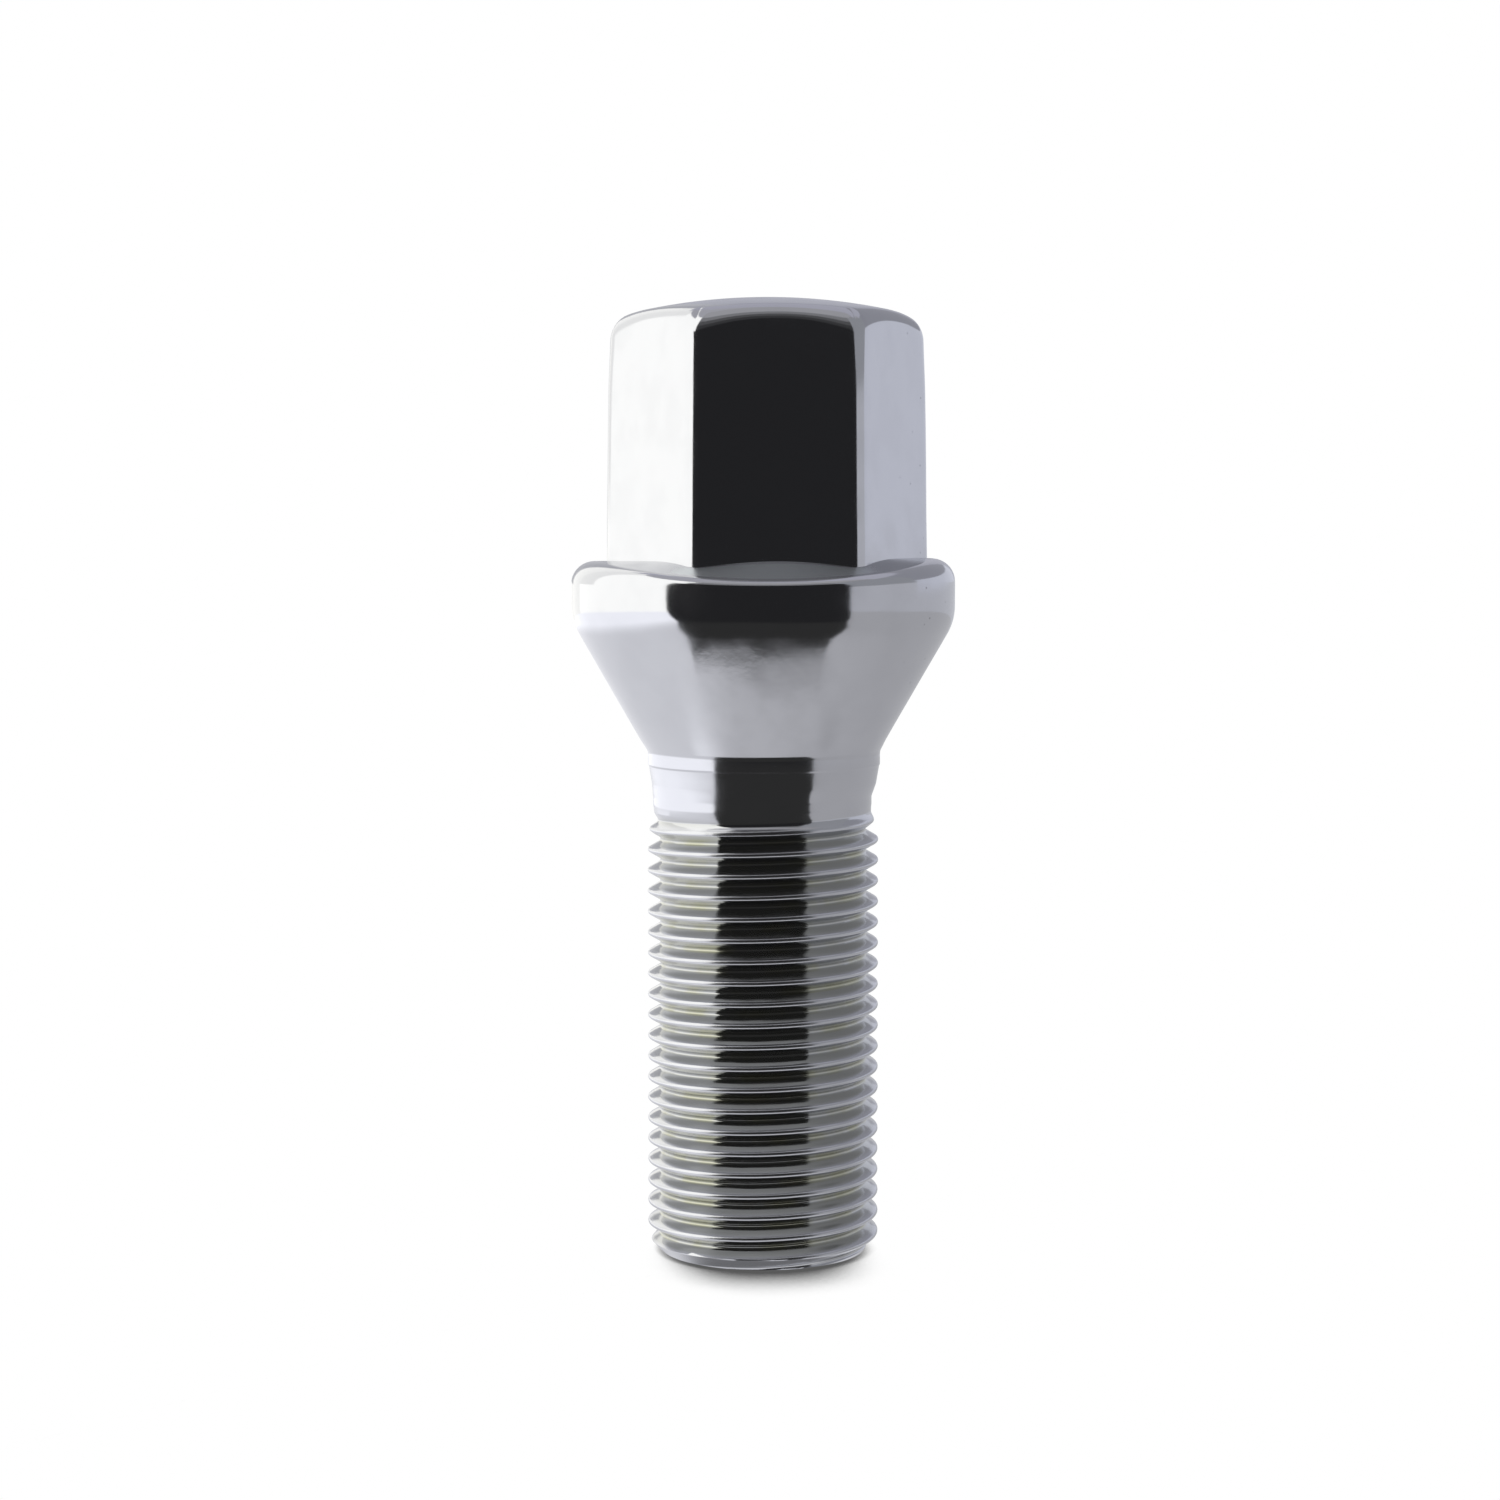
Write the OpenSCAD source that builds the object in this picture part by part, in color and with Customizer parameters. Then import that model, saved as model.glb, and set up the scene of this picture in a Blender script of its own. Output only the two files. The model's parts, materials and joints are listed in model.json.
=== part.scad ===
// Wheel bolt, forged in one piece: a domed hexagon head, a round collar whose
// underside is a conical seat, a short plain neck and a threaded shank.
// It stands on the flat end of its shank, with its axis along Z.
// The shank is drawn to the outside of its right-hand thread.

/* [Shank] */
// Diameter over the crests of the thread
thread_d = 13.87; // [11:0.01:17]
// Pitch of the thread, which sets its depth, its run-out and its point
thread_pitch = 1.25; // [0.75:0.25:1.75]
// Length of full thread, with the chamfered point
thread_len = 24.9; // [12:0.1:60]
// Turns over which the thread runs out into the blank
runout_turns = 1.4; // [1:0.1:3]
// Slope of the point's chamfer from the end face
point_angle = 45; // [30:1:60]

/* [Neck] */
// Length of bare blank between the thread and the step
blank_len = 0.85; // [0.2:0.05:8]
// Diameter at the foot of the tapered part of the neck
step_d = 13.45; // [13.3:0.01:13.75]
// Length of the small step from the blank to the tapered part
step_len = 0.3; // [0.1:0.05:1]
// Length of the tapered part of the neck
taper_len = 1.5; // [0.5:0.1:6]
// Diameter of the land under the seat
land_d = 13.94; // [13.8:0.01:14.6]
// Length of the land under the seat
land_len = 0.75; // [0.2:0.05:6]

/* [Seat and collar] */
// Included angle of the conical seat
seat_angle = 60; // [45:1:90]
// Diameter of the collar
collar_d = 23; // [21.5:0.1:26]
// Height of the collar's rim, between its sharp corners
rim_len = 2.55; // [2:0.05:6]
// Slope of the collar's upper face, falling outwards
collar_slope = 20; // [5:1:30]
// Rounding where the seat meets the rim
seat_round = 3.4; // [0.5:0.1:4]
// Rounding where the rim meets the collar's upper face
rim_round = 1.2; // [0.4:0.1:1.4]

/* [Head] */
// Width of the hexagon across its flats, at its foot
hex_af = 17; // [15:0.1:18]
// Draft of each flat
hex_draft = 0.6; // [0:0.1:2]
// Height from the rim's upper corner to the top of the dome
head_len = 16.88; // [10:0.1:24]
// Radius of the domed top
dome_r = 35.4; // [20:0.1:80]
// Rounding of the hexagon's corners at its foot
corner_r = 1.2; // [0.6:0.1:2]
// Rounding of the edge between the flats and the dome
edge_r = 1; // [0.4:0.1:1.6]

/* [Hidden] */

// How finely round stretches are drawn
turn_fn = 128;
ball_fn = 24;
arc_steps = 6;
dome_fn = 48;
dome_steps = 4;

// Proportions of a metric thread, as shares of its pitch
pitch_line_share = 0.6495;
root_share = 1.2269;

// Radii of the shank and the neck
crest_r = thread_d / 2;
blank_r = (thread_d - pitch_line_share * thread_pitch) / 2;
point_r = (thread_d - root_share * thread_pitch) / 2;
step_r = step_d / 2;
land_r = land_d / 2;
rim_r = collar_d / 2;

// Heights above the end face
point_z = (crest_r - point_r) * tan(point_angle);
runout_z = thread_len + runout_turns * thread_pitch;
blank_z = runout_z + blank_len;
step_z = blank_z + step_len;
taper_z = step_z + taper_len;
seat_z = taper_z + land_len;
rim_z = seat_z + (rim_r - land_r) / tan(seat_angle / 2);
collar_z = rim_z + rim_len;
apex_z = collar_z + head_len;

// Half the hexagon's width and its corner rounding's reach, at a height
function flat_r(z) = hex_af / 2 - (z - collar_z) * tan(hex_draft);
function corner_reach(inset, z) = (flat_r(z) - inset) / cos(30);

// Height of a ball that touches the dome from inside, with its centre r out from the axis
function ball_z(r) = apex_z - dome_r + sqrt(pow(dome_r - edge_r, 2) - r * r);

// Points of an arc about a centre, from one angle to another
function arc(centre, radius, from, to, steps) = [
    for (i = [0 : steps])
        let (a = from + (to - from) * i / steps)
        centre + radius * [cos(a), sin(a)]
];

// Half the section of everything under the head, turned about Z
module shank_section() {
    // The seat's side faces down and outwards, so its rounding starts below the horizontal
    seat_turn = seat_angle / 2;
    seat_centre = [rim_r - seat_round, rim_z + seat_round * tan(seat_turn / 2)];
    top_turn = 90 - collar_slope;
    top_centre = [rim_r - rim_round, collar_z - rim_round * tan(top_turn / 2)];
    // The collar's upper face runs in under the hexagon's flats
    inner_r = flat_r(collar_z) - corner_r;
    inner_z = collar_z + (rim_r - inner_r) * tan(collar_slope);
    polygon(concat(
        [
            [0, 0],
            [point_r, 0],
            [crest_r, point_z],
            [crest_r, thread_len],
            [blank_r, runout_z],
            [blank_r, blank_z],
            [step_r, step_z],
            [land_r, taper_z],
            [land_r, seat_z]
        ],
        arc(seat_centre, seat_round, -seat_turn, 0, arc_steps),
        arc(top_centre, rim_round, 0, top_turn, arc_steps),
        [
            [inner_r, inner_z],
            [0, inner_z]
        ]
    ));
}

module shank_and_collar() {
    rotate_extrude($fn = turn_fn)
        shank_section();
}

// The cap of the domed top, as far out as the rounded edge lets it reach
module dome_cap() {
    cap_r = (flat_r(apex_z) - edge_r) * dome_r / (dome_r - edge_r);
    cap_angle = asin(cap_r / dome_r);
    translate([0, 0, apex_z - dome_r])
        rotate_extrude($fn = dome_fn)
            polygon(concat(
                [[0, dome_r * cos(cap_angle)]],
                arc([0, 0], dome_r, 90 - cap_angle, 90, dome_steps)
            ));
}

// Six corner posts with draft, balls along the upper edge, and the dome
module hexagon_head() {
    foot_reach = corner_reach(corner_r, collar_z);
    edge_z = ball_z(flat_r(apex_z) - edge_r);
    flat_reach = flat_r(edge_z) - edge_r;
    corner_z = ball_z(corner_reach(edge_r, edge_z));
    top_reach = corner_reach(edge_r, corner_z);
    sliver = 0.01;
    hull() {
        for (a = [0 : 60 : 300])
            rotate([0, 0, a]) {
                translate([foot_reach, 0, collar_z])
                    cylinder(h = sliver, r = corner_r, $fn = ball_fn);
                translate([top_reach, 0, corner_z])
                    sphere(r = edge_r, $fn = ball_fn);
                rotate([0, 0, 30])
                    translate([flat_reach, 0, edge_z])
                        sphere(r = edge_r, $fn = ball_fn);
            }
        dome_cap();
    }
}

module wheel_bolt() {
    color("#c3c6cd") {
        shank_and_collar();
        hexagon_head();
    }
}

wheel_bolt();
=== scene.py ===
import json
import logging
import math
from dataclasses import dataclass, field
from enum import Enum

import bpy
import numpy as np
from mathutils import Matrix, Vector, noise


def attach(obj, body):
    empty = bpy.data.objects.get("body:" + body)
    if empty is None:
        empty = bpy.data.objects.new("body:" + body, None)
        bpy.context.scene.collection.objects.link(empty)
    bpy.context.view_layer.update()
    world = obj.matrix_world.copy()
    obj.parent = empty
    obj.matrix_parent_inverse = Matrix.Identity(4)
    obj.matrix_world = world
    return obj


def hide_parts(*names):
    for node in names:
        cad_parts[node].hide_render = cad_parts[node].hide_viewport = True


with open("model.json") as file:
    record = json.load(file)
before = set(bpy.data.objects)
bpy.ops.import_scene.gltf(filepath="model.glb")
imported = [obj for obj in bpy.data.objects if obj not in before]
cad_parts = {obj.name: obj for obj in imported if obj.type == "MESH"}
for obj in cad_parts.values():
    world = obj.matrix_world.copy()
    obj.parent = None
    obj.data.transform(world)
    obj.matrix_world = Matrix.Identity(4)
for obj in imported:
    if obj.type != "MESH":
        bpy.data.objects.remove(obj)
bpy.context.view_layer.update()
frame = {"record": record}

MM = 0.001
TURN = 2 * math.pi
LOG = logging.getLogger("wheel_bolt")


class Facing(Enum):
    """Side of the bolt that a card stands on, as an angle round the axis from the front."""

    FRONT = 0.0
    RIGHT = 90.0
    BACK = 180.0
    LEFT = -90.0


class Ray(Enum):
    """Kinds of ray that see the white surroundings as they are, named as the Light Path outputs."""

    CAMERA = "Is Camera Ray"
    GLOSSY = "Is Glossy Ray"
    TRANSMISSION = "Is Transmission Ray"


def mount(name: str) -> dict:
    """Finds one of the bolt's stated interfaces.

    Args:
        name: The mount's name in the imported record.

    Returns:
        The mount, with its place in metres and its sizes in millimetres.
    """
    return next(m for m in frame["record"]["mounts"] if m["name"] == name)


def smooth_step(low: float, high: float, value: np.ndarray) -> np.ndarray:
    """Eases from 0 to 1 between two values.

    Args:
        low: Where the rise starts.
        high: Where the rise ends.
        value: The values to ease.

    Returns:
        The eased share of each value.
    """
    share = np.clip((value - low) / (high - low), 0, 1)
    return share * share * (3 - 2 * share)


def grid_faces(rows: int, across: int) -> list[tuple[int, ...]]:
    """Joins a grid of points with faces.

    Args:
        rows: Number of rows of faces.
        across: Number of faces in a row.

    Returns:
        The faces, by the numbers of the points, which run row by row.
    """
    wide = across + 1
    return [
        (i * wide + j, i * wide + j + 1, (i + 1) * wide + j + 1, (i + 1) * wide + j)
        for i in range(rows)
        for j in range(across)
    ]


def ranged(
    tree: bpy.types.NodeTree, value: bpy.types.NodeSocket,
    source: tuple[float, float], result: tuple[float, float],
) -> bpy.types.NodeSocket:
    """Changes one range of values into another, eased.

    Args:
        tree: The node tree to add to.
        value: The socket with the value.
        source: The range that the value comes in.
        result: The range that it goes to.

    Returns:
        The socket of the changed value.
    """
    made = tree.nodes.new("ShaderNodeMapRange")
    made.interpolation_type = "SMOOTHSTEP"
    made.inputs["From Min"].default_value, made.inputs["From Max"].default_value = source
    made.inputs["To Min"].default_value, made.inputs["To Max"].default_value = result
    tree.links.new(value, made.inputs["Value"])
    return made.outputs["Result"]


def times(
    tree: bpy.types.NodeTree, one: bpy.types.NodeSocket, other: bpy.types.NodeSocket
) -> bpy.types.NodeSocket:
    """Multiplies two values.

    Args:
        tree: The node tree to add to.
        one: The socket with the one value.
        other: The socket with the other.

    Returns:
        The socket of the product.
    """
    made = tree.nodes.new("ShaderNodeMath")
    made.operation = "MULTIPLY"
    tree.links.new(one, made.inputs[0])
    tree.links.new(other, made.inputs[1])
    return made.outputs["Value"]


@dataclass
class Columns:
    """The columns of points that run up the bolt, closer together at the hexagon's corners."""

    count: int = 192
    crowding: float = 0.75

    @property
    def angle(self) -> np.ndarray:
        """Angle of each column from +X, in radians."""
        even = np.arange(self.count) * TURN / self.count
        return even - self.crowding * np.sin(6 * even) / 6

    def ring(self, radius: np.ndarray | float, z: np.ndarray | float) -> np.ndarray:
        """Places one point in each column.

        Args:
            radius: Distance from the axis, for all columns or for each.
            z: Height, for all columns or for each.

        Returns:
            The points, one row for each column.
        """
        a = self.angle
        return np.stack([radius * np.cos(a), radius * np.sin(a), z + 0 * a], axis=1)


@dataclass
class Skin:
    """The one closed surface of the forging, gathered ring by ring from the end face up."""

    columns: Columns
    crease: float = 42.0
    points: list[np.ndarray] = field(default_factory=list)
    faces: list[tuple[int, ...]] = field(default_factory=list)
    grooves: list[float] = field(default_factory=list)
    dulls: list[float] = field(default_factory=list)

    def add(
        self, points: np.ndarray, groove: np.ndarray | float = 0.0, dull: np.ndarray | float = 0.0
    ) -> np.ndarray:
        """Adds points to the surface.

        Args:
            points: The places of the points.
            groove: How deep each lies in the thread, from 0 to 1.
            dull: How dull the plating is there, from 0 to 1.

        Returns:
            The numbers of the new points.
        """
        first = len(self.points)
        self.points.extend(points)
        self.grooves.extend(np.broadcast_to(groove, len(points)))
        self.dulls.extend(np.broadcast_to(dull, len(points)))
        return np.arange(first, first + len(points))

    def face(self, corners: list[int]) -> None:
        """Adds a face, without the corners that fall together, if it is still one.

        Args:
            corners: The numbers of its corners, in order.
        """
        kept = [c for i, c in enumerate(corners) if c != corners[i - 1]]
        if len(set(kept)) >= 3:
            self.faces.append(tuple(int(c) for c in kept))

    def bridge(self, lower: np.ndarray, upper: np.ndarray) -> None:
        """Joins two rings with a band of faces.

        Args:
            lower: The numbers of the lower ring's points.
            upper: The numbers of the upper ring's points.
        """
        for j in range(len(lower)):
            k = (j + 1) % len(lower)
            self.face([lower[j], lower[k], upper[k], upper[j]])

    def stack(
        self, start: np.ndarray, rings: list[np.ndarray], dull: np.ndarray | float = 0.0
    ) -> np.ndarray:
        """Carries the surface on through more rings.

        Args:
            start: The ring that is there.
            rings: The places of the rings that follow it.
            dull: How dull the plating is on them, from 0 to 1.

        Returns:
            The last ring's numbers.
        """
        last = start
        for points in rings:
            following = self.add(points, dull=dull)
            self.bridge(last, following)
            last = following
        return last

    def close(self, ring: np.ndarray, centre: np.ndarray, below: bool) -> None:
        """Closes a ring on a single point.

        Args:
            ring: The ring's numbers.
            centre: The place of the point.
            below: Whether the surface faces down there.
        """
        pole = self.add(centre.reshape(1, 3))[0]
        for j in range(len(ring)):
            k = (j + 1) % len(ring)
            self.face([pole, ring[k], ring[j]] if below else [ring[j], ring[k], pole])

    def mesh(self, name: str) -> bpy.types.Mesh:
        """Makes the Blender mesh, in metres, smooth but for its true creases.

        Args:
            name: The mesh's name.

        Returns:
            The mesh, with the thread's depth and the plating's dullness as attributes.
        """
        made = bpy.data.meshes.new(name)
        made.from_pydata((np.array(self.points) * MM).tolist(), [], self.faces)
        for label, values in (("groove", self.grooves), ("dull", self.dulls)):
            made.attributes.new(label, "FLOAT", "POINT").data.foreach_set("value", np.array(values, np.float32))
        made.shade_smooth()
        made.set_sharp_from_angle(angle=math.radians(self.crease))
        return made


@dataclass
class ThreadedShank:
    """Rolled right-hand thread with a chamfered point and a run-out under the neck."""

    columns: Columns
    crest_r: float
    pitch: float = 1.25
    depth: float = 0.755
    crest_round: float = 0.17
    length: float = 24.9
    runout_turns: float = 1.4
    point_angle: float = 45.0
    flank: float = 60.0
    wear: float = 0.6
    worn_reach: tuple[float, float] = (0.02, 0.16)
    crest_height: float = 1.03
    trim: float = 0.012
    shoulder_len: float = 0.2
    root_full_z: float = 25.5
    root_rise: float = 0.85
    end_rings: tuple[float, ...] = (0.35, 0.7, 0.9)

    @property
    def root_round(self) -> float:
        """Radius of the root that leaves 60 degree flanks between the two roundings."""
        return self.pitch * math.cos(math.pi / 6) - self.depth - self.crest_round

    @property
    def root_r(self) -> float:
        """Radius at the bottom of the groove."""
        return self.crest_r - self.depth

    @property
    def blank_r(self) -> float:
        """Radius of the bare blank, which is the thread's pitch radius."""
        return self.crest_r - 0.6495 * self.pitch / 2

    @property
    def runout_z(self) -> float:
        """Height at which the thread has run out."""
        return self.length + self.runout_turns * self.pitch

    @property
    def shoulder_z(self) -> float:
        """Height at which the groove meets the blank's shoulder."""
        return self.runout_z - self.shoulder_len

    def drop(self, along: np.ndarray) -> np.ndarray:
        """Gives the depth below the crest.

        Args:
            along: Distance along the axis from the nearest crest.

        Returns:
            The depth at each distance.
        """
        t = np.abs(along)
        flank = math.radians(self.flank)
        crest_end = self.crest_round * math.sin(flank)
        root_start = self.pitch / 2 - self.root_round * math.sin(flank)
        in_crest = np.minimum(t, crest_end)
        to_root = np.minimum(self.pitch / 2 - t, self.root_round * math.sin(flank))
        crest = self.crest_round - np.sqrt(self.crest_round**2 - in_crest**2)
        root = self.root_round - np.sqrt(self.root_round**2 - to_root**2)
        slope = self.crest_round / 2 + (t - crest_end) * math.tan(flank)
        return np.where(t < crest_end, crest, np.where(t > root_start, self.depth - root, slope))

    def surface(self, z: np.ndarray, angle: np.ndarray) -> tuple[np.ndarray, np.ndarray]:
        """Gives the threaded surface.

        Args:
            z: Heights.
            angle: Angles from +X, in radians.

        Returns:
            The radius at each height and angle, and how deep in the groove it lies, from 0 to 1.
        """
        along = z - self.crest_height - self.pitch * angle / TURN
        along = (along + self.pitch / 2) % self.pitch - self.pitch / 2
        full = 1 - self.drop(along) / self.depth
        to_blank = self.blank_r - self.root_r
        root = self.root_r + self.root_rise * to_blank * smooth_step(self.root_full_z, self.shoulder_z, z)
        fade = np.clip((z - self.length) / (self.runout_z - self.length), 0, 1)
        crest = self.crest_r + (self.blank_r - self.crest_r) * fade
        point = self.root_r + z / math.tan(math.radians(self.point_angle))
        radius = np.minimum(root + (crest - root) * full, point)
        return radius, (np.minimum(crest, point) - radius) / self.depth

    def section(self) -> list[float]:
        """Lists where the thread's rows lie within one pitch.

        Returns:
            The rows' distances from the crest, along the axis.
        """
        crest = [self.crest_round * math.sin(math.radians(a)) for a in range(-60, 61, 20)]
        foot = [self.root_round * math.sin(math.radians(a)) for a in (0, 30, 60)]
        half = self.pitch / 2
        rise = [foot_t - half for foot_t in foot]
        flank = (rise[-1] + crest[0]) / 2
        return rise + [flank] + crest + [-flank] + [half - t for t in reversed(foot[1:])]

    def build(self, skin: Skin) -> np.ndarray:
        """Adds the end face and the thread.

        Args:
            skin: The surface to add to.

        Returns:
            The ring where the thread meets the neck.
        """
        angle = self.columns.angle
        inner = [self.columns.ring(self.root_r * share, 0.0) for share in self.end_rings]
        centre = skin.add(inner[0])
        skin.close(centre, np.zeros(3), below=True)
        foot = skin.stack(centre, inner[1:] + [self.columns.ring(self.root_r, 0.0)])
        top_z = self.shoulder_z
        top_r, top_groove = self.surface(np.full(len(angle), top_z), angle)
        top = skin.add(self.columns.ring(top_r, top_z), top_groove)
        offsets = self.section()
        rows = len(offsets)
        turns = range(-2, math.ceil(top_z / self.pitch) + 2)
        start = np.array([self.crest_height + n * self.pitch + t for n in turns for t in offsets])
        number = np.empty((len(start), len(angle)), int)
        for k, low in enumerate(start):
            z = low + self.pitch * angle / TURN
            r, groove = self.surface(z, angle)
            inside = (z > self.trim) & (z < top_z - self.trim)
            number[k] = np.where(z <= self.trim, foot, top)
            worn = self.wear * (1 - smooth_step(*self.worn_reach, groove[inside]))
            number[k][inside] = skin.add(self.columns.ring(r, z)[inside], groove[inside], worn)
        last = len(angle) - 1
        for k in range(len(start) - 1):
            for j in range(last):
                skin.face([number[k, j], number[k, j + 1], number[k + 1, j + 1], number[k + 1, j]])
            if k + 1 + rows < len(start):
                skin.face(
                    [number[k, last], number[k + rows, 0], number[k + 1 + rows, 0], number[k + 1, last]]
                )
        LOG.info(
            "thread: %d rows, crests at %.2f mm, groove %.3f mm deep", len(start), self.crest_r, self.depth
        )
        return top


@dataclass
class Corner:
    """A corner of a turned outline, with its rounding."""

    r: float
    z: float
    rounding: float = 0.0
    steps: int = 4


def turned_outline(corners: list[Corner]) -> list[tuple[float, float]]:
    """Rounds the corners of an outline between its first and last point.

    Args:
        corners: The outline's corners, from the lowest up.

    Returns:
        Radius and height of each point of the rounded outline.
    """
    points = [(corners[0].r, corners[0].z)]
    for before, here, after in zip(corners, corners[1:], corners[2:]):
        spot = Vector((here.r, here.z))
        back = (Vector((before.r, before.z)) - spot).normalized()
        ahead = (Vector((after.r, after.z)) - spot).normalized()
        half = back.angle(ahead) / 2
        centre = spot + (back + ahead).normalized() * (here.rounding / math.sin(half))
        reach = here.rounding / math.tan(half)
        first = spot + back * reach - centre
        final = spot + ahead * reach - centre
        for i in range(here.steps + 1):
            arm = first.lerp(final, i / here.steps).normalized() * here.rounding
            points.append(tuple(centre + arm))
    points.append((corners[-1].r, corners[-1].z))
    return points


@dataclass
class NeckAndSeat:
    """Bare blank, small step, taper, land, conical seat and the lower part of the rim."""

    columns: Columns
    blank_r: float
    start_z: float
    seat_z: float
    rim_r: float
    rim_z: float
    blank_len: float = 0.7
    step_r: float = 6.75
    step_len: float = 0.8
    land_r: float = 6.97
    land_len: float = 0.75
    nick_depth: float = 0.05
    nick_len: float = 0.12
    seat_round: float = 3.4
    shoulder_len: float = 0.2
    soft_round: float = 0.8
    nick_round: float = 0.05
    land_round: float = 0.6
    wall_len: float = 1.3
    tuck: float = 0.04
    blank_swell: float = 0.05
    blank_drift: float = -0.04
    land_drift: float = 0.06
    home_reach: tuple[float, float] = (-0.2, 0.8)
    longest: float = 0.7

    def outline(self) -> list[tuple[float, float]]:
        """Gives the turned outline from the blank's shoulder to part of the way up the rim.

        Returns:
            Radius and height of each point.
        """
        blank_r = self.blank_r + self.blank_swell
        blank_z = self.start_z + self.blank_len
        land_z = self.seat_z - self.land_len
        soft, nick = self.soft_round, self.nick_round
        return turned_outline([
            Corner(self.blank_r - self.tuck, self.start_z - self.shoulder_len),
            Corner(blank_r, self.start_z + self.shoulder_len, soft, 3),
            Corner(blank_r, blank_z, soft, 3),
            Corner(self.step_r, blank_z + self.step_len, soft, 3),
            Corner(self.land_r - self.nick_depth, land_z - self.nick_len, nick, 3),
            Corner(self.land_r, land_z, nick, 3),
            Corner(self.land_r, self.seat_z, self.land_round, 6),
            Corner(self.rim_r, self.rim_z, self.seat_round, 10),
            Corner(self.rim_r, self.rim_z + self.wall_len),
        ])

    def lean(self, z: float) -> float:
        """Gives the distance at which the neck stands off the axis.

        Args:
            z: The height.

        Returns:
            The distance to the right.
        """
        blank_z = self.start_z + self.blank_len
        low, high = self.home_reach
        up = float(smooth_step(blank_z, blank_z + self.step_len, np.array(z)))
        home = float(smooth_step(self.seat_z + low, self.seat_z + high, np.array(z)))
        return (self.blank_drift + (self.land_drift - self.blank_drift) * up) * (1 - home)

    def between(self, points: list[tuple[float, float]]) -> list[tuple[float, float]]:
        """Adds points along the stretches that are too long.

        Args:
            points: The outline.

        Returns:
            The outline with its long stretches divided.
        """
        divided = [points[0]]
        for a, b in zip(points, points[1:]):
            pieces = max(1, math.ceil(math.dist(a, b) / self.longest))
            for i in range(1, pieces + 1):
                share = i / pieces
                divided.append((a[0] + (b[0] - a[0]) * share, a[1] + (b[1] - a[1]) * share))
        return divided

    def build(self, skin: Skin, start: np.ndarray) -> np.ndarray:
        """Adds the neck and the seat.

        Args:
            skin: The surface to add to.
            start: The ring where the thread ends.

        Returns:
            The ring part of the way up the rim.
        """
        outline = self.between(self.outline()[1:])
        LOG.info("neck and seat: %d rings, seat from %.2f to %.2f mm", len(outline), self.seat_z, self.rim_z)
        rings = []
        for r, z in outline:
            ring = self.columns.ring(r, z)
            ring[:, 0] += self.lean(z)
            rings.append(ring)
        return skin.stack(start, rings)


@dataclass
class Collar:
    """Upper part of the rim and the sloping face round the foot of the hexagon."""

    columns: Columns
    rim_r: float
    corner_z: float
    slope: float = 20.0
    foot_r: float = 8.5
    edge_lift: float = 0.45
    sway: float = 0.6
    tilt: float = 0.05
    foot_sway: float = 0.05
    foot_tilt: float = 0.12
    rounding: float = 0.95
    round_sway: float = 0.45
    round_rings: int = 10
    face_shares: tuple[float, ...] = (0.12, 0.3, 0.5, 0.7, 0.86)
    side_dull: float = 0.35
    dull_reach: tuple[float, float] = (0.1, 0.6)

    @property
    def lobe(self) -> np.ndarray:
        """Share of the forging's sag in each column: 1 at the front and the back, -1 at the sides."""
        return -np.cos(2 * self.columns.angle)

    @property
    def edge_z(self) -> np.ndarray:
        """Height of the rim's sharp upper corner in each column."""
        lean = self.tilt * np.cos(self.columns.angle)
        return self.corner_z + self.edge_lift - self.sway * self.lobe + lean

    @property
    def edge_round(self) -> np.ndarray:
        """Rounding of the rim's upper corner in each column."""
        return self.rounding - self.round_sway * self.lobe

    @property
    def fall(self) -> np.ndarray:
        """Fall of the upper face at the rim in each column, as a slope."""
        width = self.rim_r - self.foot_r
        lean = self.foot_tilt * np.cos(self.columns.angle)
        foot_z = self.corner_z + width * math.tan(math.radians(self.slope)) - self.foot_sway * self.lobe + lean
        return (foot_z - self.edge_z) / width

    def face_z(self, radius: np.ndarray) -> np.ndarray:
        """Height of the upper face at a radius in each column."""
        return self.edge_z + (self.rim_r - radius) * self.fall

    def build(self, skin: Skin, start: np.ndarray, foot: np.ndarray) -> np.ndarray:
        """Adds the rim's rounding and the upper face.

        Args:
            skin: The surface to add to.
            start: The ring on the rim.
            foot: The points where the hexagon stands on the upper face.

        Returns:
            The ring at the foot of the hexagon.
        """
        turn = math.pi / 2 - np.arctan(self.fall)
        rounding = self.edge_round
        centre_r = self.rim_r - rounding
        centre_z = self.edge_z - rounding * np.tan(turn / 2)
        rings = []
        for share in np.linspace(0, 1, self.round_rings):
            a = turn * share
            rings.append(self.columns.ring(centre_r + rounding * np.cos(a), centre_z + rounding * np.sin(a)))
        edge = skin.stack(start, rings)
        outer = rings[-1]
        face = []
        for share in self.face_shares:
            spot = outer + (foot - outer) * share
            spot[:, 2] = self.face_z(np.hypot(spot[:, 0], spot[:, 1]))
            face.append(spot)
        LOG.info("collar: rim %.1f mm across, %d rings", 2 * self.rim_r, len(rings) + len(face) + 1)
        dull = self.side_dull + (1 - self.side_dull) * smooth_step(*self.dull_reach, self.lobe)
        return skin.stack(skin.stack(edge, face, dull=dull), [foot])


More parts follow.
